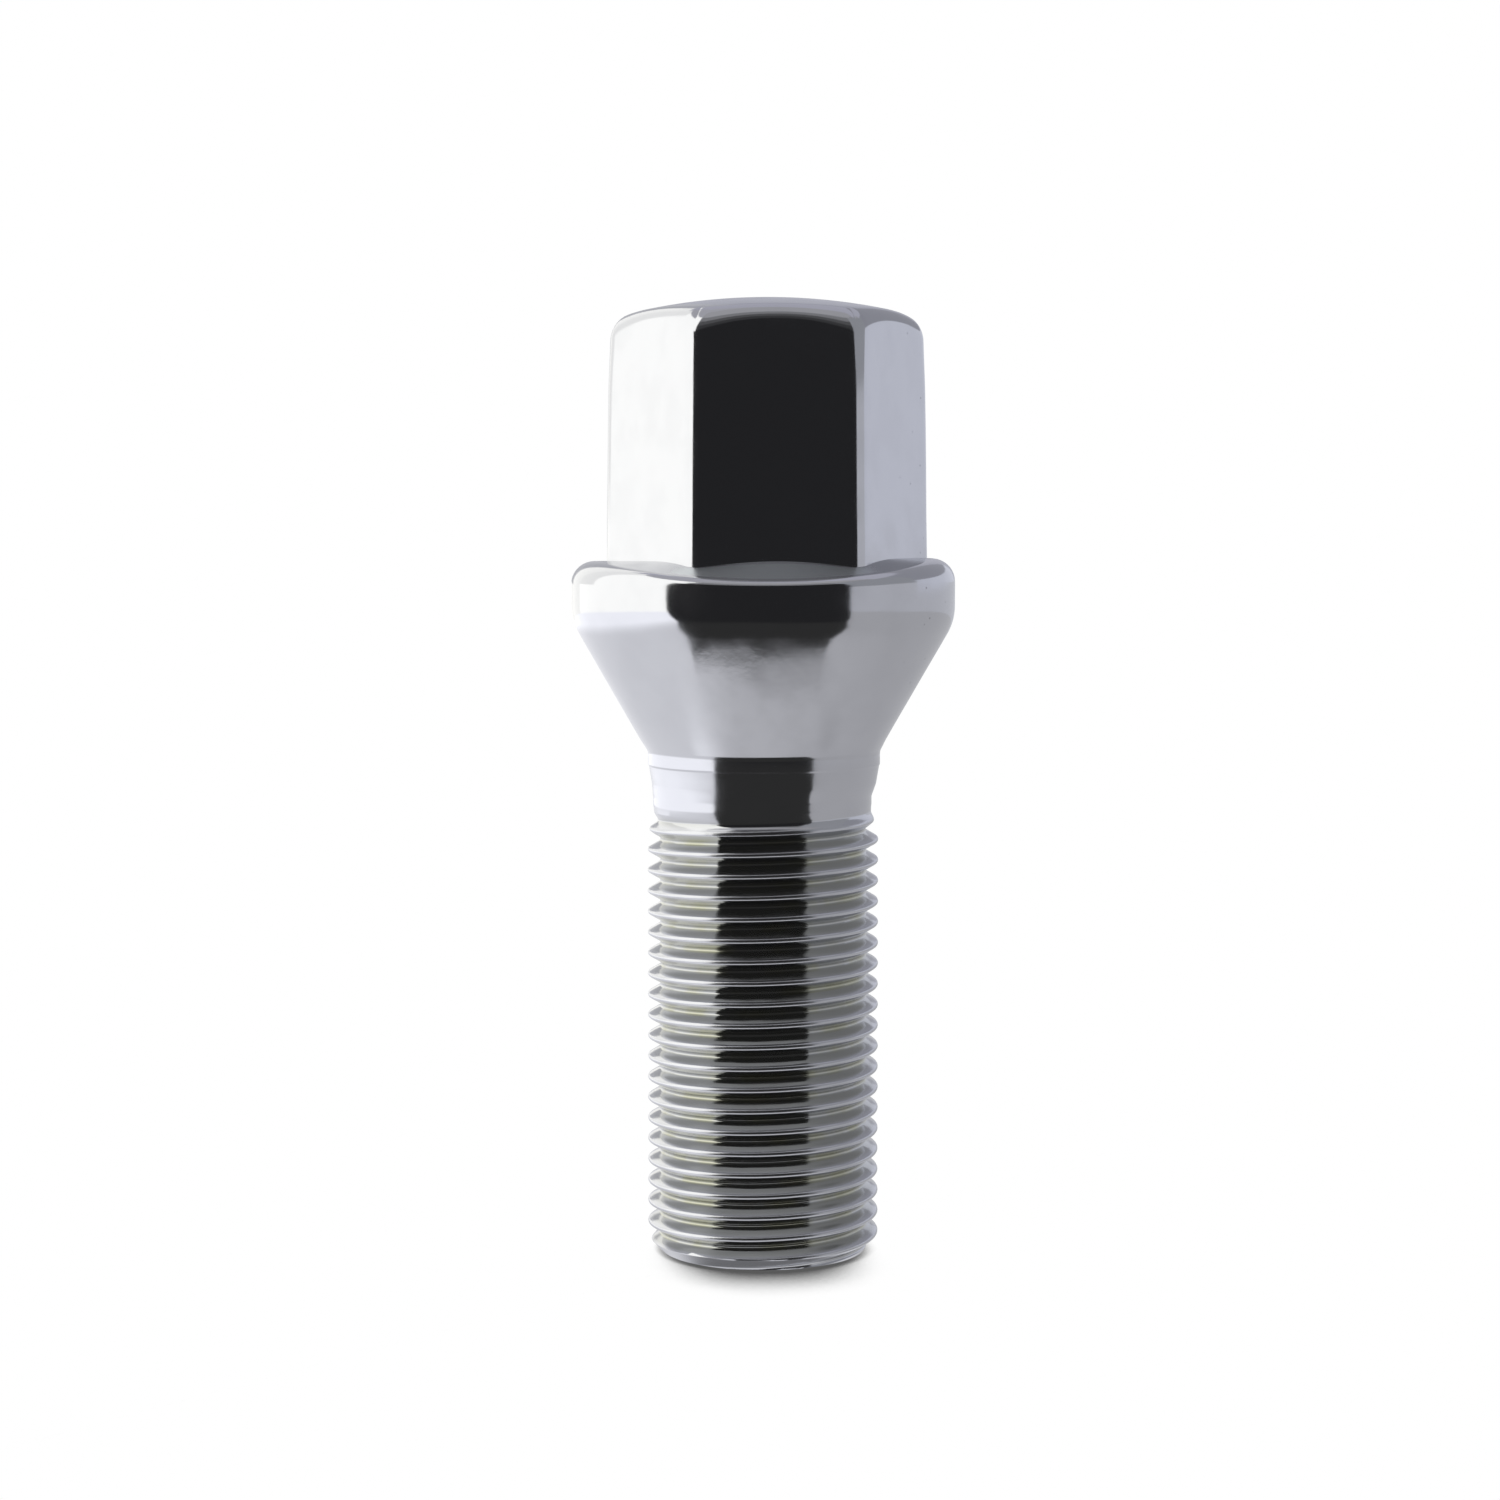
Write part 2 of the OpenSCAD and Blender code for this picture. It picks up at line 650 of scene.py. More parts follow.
@dataclass
class HexagonHead:
    """Drafted hexagon with rounded corners, a rolled upper edge and a domed top."""

    columns: Columns
    half_width: float
    base_z: float
    apex_z: float
    draft: float = 0.6
    corner_low: float = 1.2
    edge_round: float = 1.0
    corner_edge: float = 1.73
    corner_power: float = 2.7
    corner_spare: float = 0.03
    corner_reach: tuple[float, float] = (6.0, 2.0)
    dome_r: float = 35.4
    settle: float = 0.22
    drift: float = 0.26
    flat_rows: int = 26
    edge_rows: int = 10
    dome_rows: int = 12

    def flat_r(self, z: np.ndarray) -> np.ndarray:
        """Half the width across the flats at a height."""
        return self.half_width - (z - self.base_z) * math.tan(math.radians(self.draft))

    def corner_round(self, z: np.ndarray) -> np.ndarray:
        """Rounding of the corners at a height, which widens to that of the rolled edge."""
        low, high = self.corner_reach
        share = smooth_step(self.apex_z - low, self.apex_z - high, z)
        return self.corner_low + (self.corner_edge + self.corner_spare - self.corner_low) * share

    @property
    def roll(self) -> np.ndarray:
        """Rounding of the upper edge in each column, largest at the corners."""
        off = np.abs((self.columns.angle + math.pi / 6) % (math.pi / 3) - math.pi / 6)
        to_corner = 1 - off / (math.pi / 6)
        return self.edge_round + (self.corner_edge - self.edge_round) * to_corner**self.corner_power

    def section(self, z: np.ndarray) -> tuple[np.ndarray, np.ndarray]:
        """Cuts the hexagon across, each column at its own height.

        Args:
            z: The height in each column.

        Returns:
            The points of the section and their level outward directions, both flat.
        """
        a = self.columns.angle
        flat = self.flat_r(z)
        corner = self.corner_round(z)
        near = np.round((a - math.pi / 6) / (math.pi / 3)) * math.pi / 3 + math.pi / 6
        off = a - near
        reach = (flat - corner) / math.cos(math.pi / 6)
        side = np.where(off >= 0, 1.0, -1.0)
        to_corner = math.pi / 6 - np.abs(off)
        on_flat = flat * np.tan(np.abs(off)) <= (flat - corner) * math.tan(math.pi / 6)
        level = np.sqrt(np.maximum(corner**2 - (reach * np.sin(to_corner)) ** 2, 0))
        radius = np.where(on_flat, flat / np.cos(off), reach * np.cos(to_corner) + level)
        points = np.stack([radius * np.cos(a), radius * np.sin(a)], axis=1)
        tip = near + side * math.pi / 6
        arm = points - np.stack([reach * np.cos(tip), reach * np.sin(tip)], axis=1)
        arm /= np.linalg.norm(arm, axis=1, keepdims=True)
        face = np.stack([np.cos(near), np.sin(near)], axis=1)
        return points, np.where(on_flat[:, None], face, arm)

    def placed(self, flat_points: np.ndarray, z: np.ndarray) -> np.ndarray:
        """Puts section points at their heights, with the head a little off the shank's axis."""
        return np.stack([flat_points[:, 0] + self.drift, flat_points[:, 1], z], axis=1)

    def foot(self, collar: Collar) -> np.ndarray:
        """Finds where the flats meet the collar's upper face.

        Args:
            collar: The collar under the head.

        Returns:
            One point in each column.
        """
        z = np.full(self.columns.count, self.base_z + 0.8)
        for _ in range(12):
            points = self.placed(self.section(z)[0], z)
            z = collar.face_z(np.hypot(points[:, 0], points[:, 1]))
        return self.placed(self.section(z)[0], z)

    def build(self, skin: Skin, start: np.ndarray, foot: np.ndarray) -> None:
        """Adds the flats, the rolled edge and the dome.

        Args:
            skin: The surface to add to.
            start: The ring at the foot of the hexagon.
            foot: The places of that ring's points.
        """
        dome_z = self.apex_z - self.dome_r
        roll = self.roll[:, None]
        inner_r = self.dome_r - self.roll
        edge_z = np.full(self.columns.count, self.apex_z - 2)
        for _ in range(6):
            points, outward = self.section(edge_z)
            ball = points - outward * roll
            edge_z = dome_z + np.sqrt(inner_r**2 - (ball**2).sum(axis=1))
        rings = []
        for i in range(1, self.flat_rows + 1):
            z = foot[:, 2] + (edge_z - foot[:, 2]) * i / self.flat_rows
            rings.append(self.placed(self.section(z)[0], z))
        ball_points = np.column_stack([ball, edge_z])
        up = (ball_points - np.array([0, 0, dome_z])) / inner_r[:, None]
        level = np.column_stack([outward, np.zeros(len(outward))])
        spread = np.arccos(np.clip((up * level).sum(axis=1), -1, 1))[:, None]
        for i in range(1, self.edge_rows + 1):
            share = i / self.edge_rows
            arm = (np.sin((1 - share) * spread) * level + np.sin(share * spread) * up) / np.sin(spread)
            spot = ball_points + arm * roll
            rings.append(self.placed(spot[:, :2], spot[:, 2]))
        rim = ball_points[:, :2] + up[:, :2] * roll
        for i in range(1, self.dome_rows):
            spot = rim * (1 - i / self.dome_rows)
            rings.append(self.placed(spot, dome_z + np.sqrt(self.dome_r**2 - (spot**2).sum(axis=1))))
        last = skin.stack(start, rings)
        skin.close(last, np.array([self.drift, 0, self.apex_z]), below=False)
        LOG.info("head: %.1f mm across flats, top at %.2f mm", 2 * self.half_width, self.apex_z)


@dataclass(frozen=True)
class ChromePlate:
    """Bright chrome over forged steel: slightly cloudy, pitted here and there, with painted shade in the
    thread's groove and an oily tint at its root.
    """

    tone: tuple[float, float, float] = (0.56, 0.565, 0.59)
    cloud_tone: tuple[float, float, float] = (0.548, 0.553, 0.578)
    # Painted shade: the plating's colour down in the thread's groove
    groove_shade_tone: tuple[float, float, float] = (0.46, 0.465, 0.46)
    root_tone: tuple[float, float, float] = (0.43, 0.43, 0.34)
    dull_tone: tuple[float, float, float] = (0.68, 0.71, 0.725)
    pit_tone: tuple[float, float, float] = (0.16, 0.16, 0.17)
    clear_roughness: float = 0.09
    cloudy_roughness: float = 0.16
    dull_roughness: float = 0.34
    cloud_size: float = 2.6
    grain_size: float = 0.35
    ripple_size: float = 3.5
    ripple_depth: float = 0.012
    grain_depth: float = 0.0012
    pit_size: float = 0.9
    pit_share: float = 0.1
    pit_reach: tuple[float, float] = (6.5, 9.0)
    cloud_range: tuple[float, float] = (0.4, 0.66)
    gloss_range: tuple[float, float] = (0.35, 0.7)
    groove_shade_range: tuple[float, float] = (0.08, 0.5)
    root_range: tuple[float, float] = (0.8, 0.97)
    bare_range: tuple[float, float] = (0.62, 1.0)

    def noise_socket(
        self, tree: bpy.types.NodeTree, place: bpy.types.NodeSocket, size: float, detail: float
    ) -> bpy.types.NodeSocket:
        """Adds a noise.

        Args:
            tree: The node tree to add to.
            place: The socket with the places on the bolt.
            size: Size of its lumps, in millimetres.
            detail: How many finer layers it has.

        Returns:
            The socket of the noise, from 0 to 1.
        """
        made = tree.nodes.new("ShaderNodeTexNoise")
        made.inputs["Scale"].default_value = 1 / (size * MM)
        made.inputs["Detail"].default_value = detail
        tree.links.new(place, made.inputs["Vector"])
        return made.outputs["Fac"]

    def mark(self, tree: bpy.types.NodeTree, name: str) -> bpy.types.NodeSocket:
        """Reads one of the values that the mesh carries.

        Args:
            tree: The node tree to add to.
            name: The value's name.

        Returns:
            The socket of the value.
        """
        made = tree.nodes.new("ShaderNodeAttribute")
        made.attribute_name = name
        return made.outputs["Fac"]

    def bump(
        self, tree: bpy.types.NodeTree, height: bpy.types.NodeSocket, depth: float
    ) -> bpy.types.ShaderNode:
        """Adds a slight unevenness.

        Args:
            tree: The node tree to add to.
            height: The socket with the height, from 0 to 1.
            depth: The depth at 1, in millimetres.

        Returns:
            The node, whose normal goes on to the next.
        """
        made = tree.nodes.new("ShaderNodeBump")
        made.inputs["Strength"].default_value = 1.0
        made.inputs["Distance"].default_value = depth * MM
        tree.links.new(height, made.inputs["Height"])
        return made

    def over(
        self, tree: bpy.types.NodeTree, share: bpy.types.NodeSocket,
        base: bpy.types.NodeSocket | tuple[float, float, float], upper: tuple[float, float, float],
    ) -> bpy.types.NodeSocket:
        """Lays one colour over another.

        Args:
            tree: The node tree to add to.
            share: How much of the upper colour shows.
            base: The lower colour, or the socket that gives it.
            upper: The upper colour.

        Returns:
            The socket of the mixed colour.
        """
        made = tree.nodes.new("ShaderNodeMix")
        made.data_type = "RGBA"
        tree.links.new(share, made.inputs["Factor"])
        if isinstance(base, tuple):
            made.inputs["A"].default_value = (*base, 1)
        else:
            tree.links.new(base, made.inputs["A"])
        made.inputs["B"].default_value = (*upper, 1)
        return made.outputs["Result"]

    def material(self) -> bpy.types.Material:
        """Makes the plating's material.

        Returns:
            A node material whose patterns follow the bolt's own surface.
        """
        made = bpy.data.materials.new("chrome_plate")
        made.use_nodes = True
        tree = made.node_tree
        nodes, links = tree.nodes, tree.links
        shader = nodes["Principled BSDF"]
        shader.inputs["Metallic"].default_value = 1.0
        place = nodes.new("ShaderNodeTexCoord").outputs["Object"]
        cloud = self.noise_socket(tree, place, self.cloud_size, 4)
        grain = self.noise_socket(tree, place, self.grain_size, 3)
        ripple = self.noise_socket(tree, place, self.ripple_size, 1)

        cloudy = ranged(tree, cloud, self.cloud_range, (0, 1))
        colour = self.over(tree, cloudy, self.tone, self.cloud_tone)
        groove = self.mark(tree, "groove")
        # Painted shade: the plating darkens down in the thread's groove
        colour = self.over(tree, ranged(tree, groove, self.groove_shade_range, (0, 1)), colour, self.groove_shade_tone)
        oily = times(tree, ranged(tree, groove, self.root_range, (0, 1)), cloudy)
        colour = self.over(tree, oily, colour, self.root_tone)
        dull = self.mark(tree, "dull")
        colour = self.over(tree, ranged(tree, dull, self.bare_range, (0, 1)), colour, self.dull_tone)

        pits = nodes.new("ShaderNodeTexVoronoi")
        pits.inputs["Scale"].default_value = 1 / (self.pit_size * MM)
        links.new(place, pits.inputs["Vector"])
        pitted = ranged(tree, pits.outputs["Distance"], (0.0, self.pit_share), (1, 0))
        apart = nodes.new("ShaderNodeSeparateXYZ")
        links.new(place, apart.inputs[0])
        low, high = self.pit_reach
        patch = ranged(tree, apart.outputs["X"], (low * MM, high * MM), (0, 1))
        colour = self.over(tree, times(tree, pitted, patch), colour, self.pit_tone)
        links.new(colour, shader.inputs["Base Color"])

        gloss = ranged(tree, cloud, self.gloss_range, (self.clear_roughness, self.cloudy_roughness))
        rough = nodes.new("ShaderNodeMix")
        links.new(dull, rough.inputs["Factor"])
        links.new(gloss, rough.inputs["A"])
        rough.inputs["B"].default_value = self.dull_roughness
        links.new(rough.outputs["Result"], shader.inputs["Roughness"])

        wave = self.bump(tree, ripple, self.ripple_depth)
        fine = self.bump(tree, grain, self.grain_depth)
        links.new(wave.outputs["Normal"], fine.inputs["Normal"])
        links.new(fine.outputs["Normal"], shader.inputs["Normal"])
        return made


@dataclass
class WheelBolt:
    """The whole bolt: one forging from the end of its thread to the top of its dome."""

    name: str = "wheel_bolt_dressed"
    node: str = "wheel_bolt"
    finish: ChromePlate = field(default_factory=ChromePlate)
    columns: Columns = field(default_factory=Columns)
    swell: float = 0.02
    swell_scale: float = 0.28
    rolled_grit: float = 0.010
    torn_grit: float = 0.02
    plain_grit: float = 0.0025
    grit_scale: tuple[float, float, float] = (1.1, 1.1, 1.6)
    grit_start: tuple[float, float, float] = (9.0, 4.0, 7.0)
    torn_z: tuple[float, float] = (23.2, 25.0)
    still_foot: float = 0.05
    still_top: float = 0.3

    def __post_init__(self) -> None:
        """Takes the sizes from the bolt's stated interfaces and makes its stretches."""
        seat = mount("conical_seat")
        drive = mount("hexagon_drive")
        seat_z = seat["pos_m"][2] / MM
        rim_r = seat["dims"]["r_mm"]
        apex_z = drive["pos_m"][2] / MM
        collar_z = apex_z - drive["dims"]["length_mm"]
        self.shank = ThreadedShank(self.columns, mount("shank")["dims"]["r_mm"])
        self.neck = NeckAndSeat(
            self.columns, self.shank.blank_r, self.shank.runout_z,
            seat_z, rim_r, seat_z + seat["dims"]["length_mm"],
        )
        self.collar = Collar(self.columns, rim_r, collar_z)
        self.head = HexagonHead(self.columns, drive["dims"]["r_mm"], collar_z, apex_z)
        self.head.apex_z -= self.head.settle

    def roughen(self, mesh: bpy.types.Mesh) -> None:
        """Gives the surface the slight unevenness of forging and rolling.

        Args:
            mesh: The mesh, whose points move a few hundredths of a millimetre at most.
        """
        highest = self.head.apex_z - self.still_top
        for vertex in mesh.vertices:
            place = vertex.co / MM
            if not self.still_foot <= place.z <= highest:
                continue
            rolled = place.z < self.shank.shoulder_z
            torn = float(smooth_step(*self.torn_z, np.array(place.z)))
            grit = self.rolled_grit + self.torn_grit * torn if rolled else self.plain_grit
            amount = noise.noise(place * self.swell_scale) * self.swell
            amount += noise.noise(place * Vector(self.grit_scale) + Vector(self.grit_start)) * grit
            away = Vector((place.x, place.y, 0)).normalized()
            vertex.co += away * min(amount, 0.0 if rolled else amount) * MM

    def build(self) -> bpy.types.Object:
        """Builds the forging and stands it in place of its plain solid.

        Returns:
            The dressed bolt.
        """
        skin = Skin(self.columns)
        ring = self.shank.build(skin)
        ring = self.neck.build(skin, ring)
        foot = self.head.foot(self.collar)
        ring = self.collar.build(skin, ring, foot)
        self.head.build(skin, ring, foot)
        mesh = skin.mesh(self.name)
        self.roughen(mesh)
        bolt = bpy.data.objects.new(self.name, mesh)
        bpy.context.scene.collection.objects.link(bolt)
        mesh.materials.append(self.finish.material())
        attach(bolt, "root")
        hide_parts(self.node)
        LOG.info("%s: %d points, %d faces", self.name, len(mesh.vertices), len(mesh.polygons))
        return bolt


@dataclass(frozen=True)
class Glow:
    """Even light of a card, which shows in the plating."""

    tone: tuple[float, float, float]
    strength: float = 1.0

    def material(self, name: str) -> bpy.types.Material:
        """Makes the card's material.

        Args:
            name: The card's name.

        Returns:
            A material that gives off an even light.
        """
        made = bpy.data.materials.new(name)
        made.use_nodes = True
        nodes = made.node_tree.nodes
        nodes.remove(nodes["Principled BSDF"])
        light = nodes.new("ShaderNodeEmission")
        light.inputs["Color"].default_value = (*self.tone, 1)
        light.inputs["Strength"].default_value = self.strength
        made.node_tree.links.new(light.outputs["Emission"], nodes["Material Output"].inputs["Surface"])
        return made


@dataclass
class Card:
    """A curved card round the bolt, seen in its plating but not by the camera."""

    name: str
    glow: Glow
    facing: Facing
    swing: tuple[float, float]
    height: tuple[float, float]
    distance: float = 400.0
    steps: int = 24

    def spot(self, swing: float, height: float) -> tuple[float, float, float]:
        """Gives a point of the card.

        Args:
            swing: Angle round the axis from the side that the card faces, in degrees.
            height: Angle above the table, in degrees.

        Returns:
            The point, in metres.
        """
        a, e = math.radians(self.facing.value + swing), math.radians(height)
        reach = self.distance * MM
        return (reach * math.sin(a) * math.cos(e), -reach * math.cos(a) * math.cos(e), reach * math.sin(e))

    def build(self) -> bpy.types.Object:
        """Makes the card, which neither shows to the camera nor casts a shadow.

        Returns:
            The card.
        """
        grid = [
            self.spot(s, h)
            for h in np.linspace(*self.height, self.steps + 1)
            for s in np.linspace(*self.swing, self.steps + 1)
        ]
        return stage_piece(self.name, grid, grid_faces(self.steps, self.steps), self.glow.material(self.name))


@dataclass
class DarkCard:
    """A dark card in front of the bolt, bent a little round it, its lower part a little less dark."""

    name: str = "dark_card"
    low_glow: Glow = Glow((0.041, 0.041, 0.0405))
    glow: Glow = Glow((0.025, 0.025, 0.0265))
    ahead: float = 34.5
    bend: float = 56.4
    low_sides: tuple[tuple[float, float, float], ...] = (
        (-34.0, 30.0, -10.0), (-33.0, 30.2, -4.0), (-31.0, 29.4, 4.0), (-29.2, 28.8, 19.0), (-28.0, 27.0, 26.3),
    )
    sides: tuple[tuple[float, float, float], ...] = (
        (-28.0, 27.0, 26.3), (-29.4, 27.2, 30.0), (-30.8, 26.5, 39.0), (-30.8, 26.5, 61.0),
    )
    turn: float = 3.3
    steps: int = 16

    def spot(self, x: float, z: float) -> tuple[float, float, float]:
        """Gives a point of the card.

        Args:
            x: Distance to the side, in millimetres.
            z: Height, in millimetres.

        Returns:
            The point, in metres.
        """
        y = self.bend - self.ahead - math.sqrt(self.bend**2 - x**2)
        turned = Matrix.Rotation(-math.radians(self.turn), 3, "Z")
        return tuple(turned @ Vector((x, y, z)) * MM)

    def build(self) -> None:
        """Makes both parts of the card, which neither show to the camera nor cast a shadow."""
        for name, sides, glow in (("low", self.low_sides, self.low_glow), ("high", self.sides, self.glow)):
            points = [
                self.spot(x, z)
                for left, right, z in sides
                for x in np.linspace(left, right, self.steps + 1)
            ]
            label = f"{self.name}_{name}"
            stage_piece(label, points, grid_faces(len(sides) - 1, self.steps), glow.material(label))


def stage_piece(
    name: str, points: list[tuple[float, float, float]], faces: list[tuple[int, ...]],
    material: bpy.types.Material,
) -> bpy.types.Object:
    """Makes a piece of the stage that the camera doesn't see.

    Args:
        name: The piece's name.
        points: Its points, in metres.
        faces: Its faces.
        material: Its material.

    Returns:
        The piece, which neither shows to the camera nor casts a shadow.
    """
    mesh = bpy.data.meshes.new(name)
    mesh.from_pydata(points, [], faces)
    mesh.materials.append(material)
    piece = bpy.data.objects.new(name, mesh)
    bpy.context.scene.collection.objects.link(piece)
    piece.visible_camera = False
    piece.visible_shadow = False
    LOG.info("stage: %s", name)
    return piece


@dataclass
class Studio:
    """White table and surroundings, a white box of light on the left and grey cards elsewhere."""

    table_half: float = 1500.0
    table_tone: tuple[float, float, float] = (0.8, 0.8, 0.8)
    contact_reach: float = 9.0
    contact_lean: tuple[float, float, float] = (0.0, 0.6, 0.8)
    contact_samples: int = 16
    # Painted shadow: the contact shadow is darkened near a spot in front of the bolt and lightened away from it
    front_spot: tuple[float, float, float] = (0.0, -9.0, 0.0)
    front_reach: tuple[float, float] = (2.0, 11.0)
    front_open: tuple[float, float] = (-0.15, 0.14)
    open_range: tuple[float, float] = (0.22, 0.66)
    shadow_range: tuple[float, float] = (0.1, 1.0)
    floor_drop: float = 10.0
    floor_tint: tuple[float, float, float] = (0.985, 0.99, 1.03)
    # Each band of painted light and shade across the floor (the first darkens the right, the others light the
    # left): from where to where across, and its light at either end
    painted_floor_bands: tuple[tuple[float, float, float, float], ...] = (
        (-15, 76, 0.72, 0.5616), (-43, -10, 1.38, 1), (-140, -63, 1.52, 1),
    )
    # Each round patch of painted light (left of and round the bolt), painted shade (right of it) and painted
    # shadow (under it): its centre, from where to where outwards, and its light inside and outside
    painted_floor_patches: tuple[tuple[float, float, float, float, float, float], ...] = (
        (-27, -4, 4, 17, 1.4, 1), (27, -4, 4, 17, 0.55, 1), (0, 0, 15, 26, 1.3, 1), (0, 0, 6, 14, 0.25, 1),
    )

    def cards(self) -> list[Card]:
        """Lists the curved cards.

        Returns:
            The cards, by the side that they stand on.
        """
        soft = Glow((1.0, 0.995, 0.955), 1.69)
        grey = Glow((0.635, 0.645, 0.69))
        return [
            Card("soft_box", soft, Facing.LEFT, (-33, 35), (0, 58)),
            Card("soft_box_low", soft, Facing.LEFT, (-53, -33), (0, 8)),
            Card("soft_box_high", Glow((1.0, 0.995, 0.965), 1.3), Facing.LEFT, (-53, -33), (8, 58)),
            Card("soft_box_top", Glow((0.56, 0.56, 0.6)), Facing.LEFT, (-53, 35), (58, 90)),
            Card("soft_box_side", Glow((1.0, 0.995, 0.96), 1.38), Facing.LEFT, (-72, -53), (0, 52)),
            Card("soft_box_end", Glow((1.0, 0.995, 0.97), 1.2), Facing.LEFT, (-90, -72), (0, 6)),
            Card("right_low_card", grey, Facing.RIGHT, (-44, 10), (0, 12)),
            Card("right_side_card", grey, Facing.RIGHT, (10, 90), (0, 6)),
            Card("right_card", Glow((0.75, 0.77, 0.86)), Facing.RIGHT, (10, 70), (6, 20)),
            Card("right_front_card", Glow((0.4, 0.41, 0.44)), Facing.RIGHT, (-44, 10), (12, 52)),
            Card("right_high_card", Glow((0.38, 0.385, 0.43)), Facing.RIGHT, (10, 70), (20, 52)),
            Card("back_card", Glow((0.5, 0.505, 0.57)), Facing.BACK, (-20, 0), (6, 52)),
            Card("back_left_card", Glow((0.56, 0.565, 0.6)), Facing.BACK, (0, 18), (6, 52)),
            Card("front_card", Glow((0.035, 0.035, 0.037)), Facing.FRONT, (-55, 46), (0, 18)),
            Card("front_mid_card", Glow((0.06, 0.06, 0.062)), Facing.FRONT, (-55, 46), (18, 31)),
            Card("front_high_card", Glow((0.12, 0.12, 0.123)), Facing.FRONT, (-55, 46), (31, 44)),
            Card("front_top_card", Glow((0.29, 0.29, 0.3)), Facing.FRONT, (-55, 46), (44, 58)),
            Card("hood", Glow((0.5, 0.5, 0.52)), Facing.RIGHT, (-145, -5), (58, 90)),
            Card("hood_side", Glow((0.4, 0.4, 0.42)), Facing.RIGHT, (-44, -5), (52, 58)),
            Card("ceiling", Glow((0.58, 0.58, 0.66)), Facing.RIGHT, (-5, 127), (52, 90)),
        ]

    def white_share(self, tree: bpy.types.NodeTree) -> bpy.types.NodeSocket:
        """Adds up the kinds of ray that see the white surroundings.

        Args:
            tree: The node tree to add to.

        Returns:
            A socket that is 1 for those rays and 0 for others.
        """
        path = tree.nodes.new("ShaderNodeLightPath")
        total = path.outputs[Ray.CAMERA.value]
        for ray in (Ray.GLOSSY, Ray.TRANSMISSION):
            more = tree.nodes.new("ShaderNodeMath")
            more.operation = "ADD"
            more.use_clamp = True
            tree.links.new(total, more.inputs[0])
            tree.links.new(path.outputs[ray.value], more.inputs[1])
            total = more.outputs["Value"]
        return total

    def world(self) -> None:
        """Makes the surroundings white, and plain soft light for everything else."""
        world = bpy.data.worlds.new("studio")
        world.use_nodes = True
        bpy.context.scene.world = world
        tree = world.node_tree
        plain = tree.nodes["Background"]
        plain.inputs["Color"].default_value = (0.8, 0.8, 0.82, 1)
        plain.inputs["Strength"].default_value = 1.0
        white = tree.nodes.new("ShaderNodeBackground")
        white.inputs["Color"].default_value = (1, 1, 1, 1)
        white.inputs["Strength"].default_value = 1.0
        mix = tree.nodes.new("ShaderNodeMixShader")
        tree.links.new(self.white_share(tree), mix.inputs["Fac"])
        tree.links.new(plain.outputs["Background"], mix.inputs[1])
        tree.links.new(white.outputs["Background"], mix.inputs[2])
        tree.links.new(mix.outputs["Shader"], tree.nodes["World Output"].inputs["Surface"])

    def table_material(self) -> bpy.types.Material:
        """Makes the table's white with the bolt's contact shadow, which is longer in front.

        Returns:
            The table's material.
        """
        made = bpy.data.materials.new("white_table")
        made.use_nodes = True
        tree = made.node_tree
        nodes, links = tree.nodes, tree.links
        nodes.remove(nodes["Principled BSDF"])
        matte = nodes.new("ShaderNodeBsdfDiffuse")
        matte.inputs["Color"].default_value = (*self.table_tone, 1)
        white = nodes.new("ShaderNodeEmission")
        contact = nodes.new("ShaderNodeAmbientOcclusion")
        contact.samples = self.contact_samples
        contact.inputs["Distance"].default_value = self.contact_reach * MM
        lean = nodes.new("ShaderNodeCombineXYZ")
        for axis, part in zip("XYZ", self.contact_lean):
            lean.inputs[axis].default_value = part
        links.new(lean.outputs["Vector"], contact.inputs["Normal"])
        place = nodes.new("ShaderNodeTexCoord").outputs["Object"]
        # Painted shadow: the contact shadow is darkened near a spot in front of the bolt and lightened away
        # from it, by place on the table
        near, far = self.front_reach
        front = ranged(tree, self.away(tree, place, self.front_spot), (near * MM, far * MM), self.front_open)
        open_share = nodes.new("ShaderNodeMath")
        links.new(contact.outputs["AO"], open_share.inputs[0])
        links.new(front, open_share.inputs[1])
        shadow = ranged(tree, open_share.outputs["Value"], self.open_range, self.shadow_range)
        links.new(shadow, white.inputs["Strength"])
        mix = nodes.new("ShaderNodeMixShader")
        links.new(self.white_share(tree), mix.inputs["Fac"])
        links.new(matte.outputs["BSDF"], mix.inputs[1])
        links.new(white.outputs["Emission"], mix.inputs[2])
        links.new(mix.outputs["Shader"], nodes["Material Output"].inputs["Surface"])
        return made

    def away(
        self, tree: bpy.types.NodeTree, place: bpy.types.NodeSocket, centre: tuple[float, float, float]
    ) -> bpy.types.NodeSocket:
        """Gives the distance from a point.

        Args:
            tree: The node tree to add to.
            place: The socket with the places.
            centre: The point, in millimetres.

        Returns:
            The socket of the distance, in metres.
        """
        made = tree.nodes.new("ShaderNodeVectorMath")
        made.operation = "DISTANCE"
        tree.links.new(place, made.inputs[0])
        made.inputs[1].default_value = [c * MM for c in centre]
        return made.outputs["Value"]

    def floor_material(self) -> bpy.types.Material:
        """Makes the floor that the plating shows, with painted light on the left, painted shade on the right
        and a painted shadow under the bolt.

        Returns:
            The floor card's material.
        """
        made = bpy.data.materials.new("floor_card")
        made.use_nodes = True
        tree = made.node_tree
        nodes, links = tree.nodes, tree.links
        nodes.remove(nodes["Principled BSDF"])
        place = nodes.new("ShaderNodeTexCoord").outputs["Object"]
        apart = nodes.new("ShaderNodeSeparateXYZ")
        links.new(place, apart.inputs[0])
        across = apart.outputs["X"]
